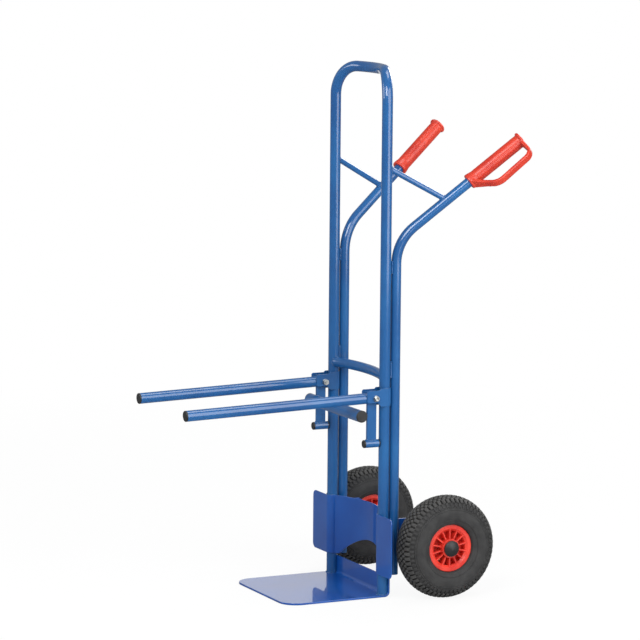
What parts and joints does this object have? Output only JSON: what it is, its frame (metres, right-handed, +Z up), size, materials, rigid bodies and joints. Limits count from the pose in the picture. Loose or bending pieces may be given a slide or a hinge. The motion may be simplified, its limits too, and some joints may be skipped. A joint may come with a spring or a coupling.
{
  "type": "stacking chair trolley",
  "caption": "Two-wheeled tube frame trolley with toe plate, bowed leg guard, guarded grips and a folding fork that lifts a stack of chairs by their seats.",
  "frame": {"origin": "on the floor, midway between the centre lines of the two uprights", "axes": "+X to the right seen from the front, -Y to the front where the toe plate and fork point, +Z up"},
  "size_m": [0.5602, 0.8874, 1.3261],
  "materials": {
    "blue_paint": "glossy powder coat",
    "red_plastic": "semi-gloss moulded",
    "tyre_rubber": "matt",
    "tube_rubber": "matt",
    "black_plastic": "satin moulded",
    "zinc_steel": "zinc plated",
    "brass": "plain"
  },
  "bodies": {
    "frame": {"toe_plate": "blue_paint", "upright_frame": "blue_paint", "leg_guard": "blue_paint", "cross_tube": "blue_paint", "tube_spacers": "blue_paint", "handle_tube_left": "blue_paint", "handle_tube_right": "blue_paint", "handle_brace_left": "blue_paint", "handle_brace_right": "blue_paint", "grip_left": "red_plastic", "grip_right": "red_plastic", "axle_bracket_left": "blue_paint", "axle_bracket_right": "blue_paint", "axle": "zinc_steel", "axle_sleeves": "zinc_steel", "axle_washers": "zinc_steel", "hub_caps": "black_plastic"},
    "wheel_left": {"tyre_left": "tyre_rubber", "inner_tube_left": "tube_rubber", "valve_left": "brass", "rim_outer_left": "red_plastic", "rim_inner_left": "red_plastic", "rim_screws_left": "zinc_steel", "hub_bearing_left": "black_plastic"},
    "wheel_right": {"tyre_right": "tyre_rubber", "inner_tube_right": "tube_rubber", "valve_right": "brass", "rim_outer_right": "red_plastic", "rim_inner_right": "red_plastic", "rim_screws_right": "zinc_steel", "hub_bearing_right": "black_plastic"},
    "fork_carriage": {"collar_left": "blue_paint", "collar_right": "blue_paint", "pivot_bolts": "zinc_steel", "pivot_nuts": "zinc_steel", "pivot_washers": "zinc_steel"},
    "fork": {"fork_arm_left": "blue_paint", "fork_arm_right": "blue_paint", "arm_plugs": "black_plastic", "pivot_bushes": "zinc_steel", "fork_leg_left": "blue_paint", "fork_leg_right": "blue_paint", "fork_foot_left": "blue_paint", "fork_foot_right": "blue_paint", "foot_caps": "black_plastic", "fork_cross_tube": "blue_paint", "cross_tube_plugs": "black_plastic"}
  },
  "joints": [
    {"name": "wheel_left_spin", "type": "hinge", "parent": "frame", "child": "wheel_left", "pos_m": [-0.217, 0.137, 0.13], "axis": [1, 0, 0], "continuous": true},
    {"name": "wheel_right_spin", "type": "hinge", "parent": "frame", "child": "wheel_right", "pos_m": [0.217, 0.137, 0.13], "axis": [1, 0, 0], "continuous": true},
    {"name": "fork_height", "type": "slide", "parent": "frame", "child": "fork_carriage", "axis": [0, 0, 1], "range_m": [-0.15, 0.01]},
    {"name": "fork_fold", "type": "hinge", "parent": "fork_carriage", "child": "fork", "pos_m": [0, -0.031, 0.505], "axis": [-1, 0, 0], "range_deg": [0, 90]}
  ]
}
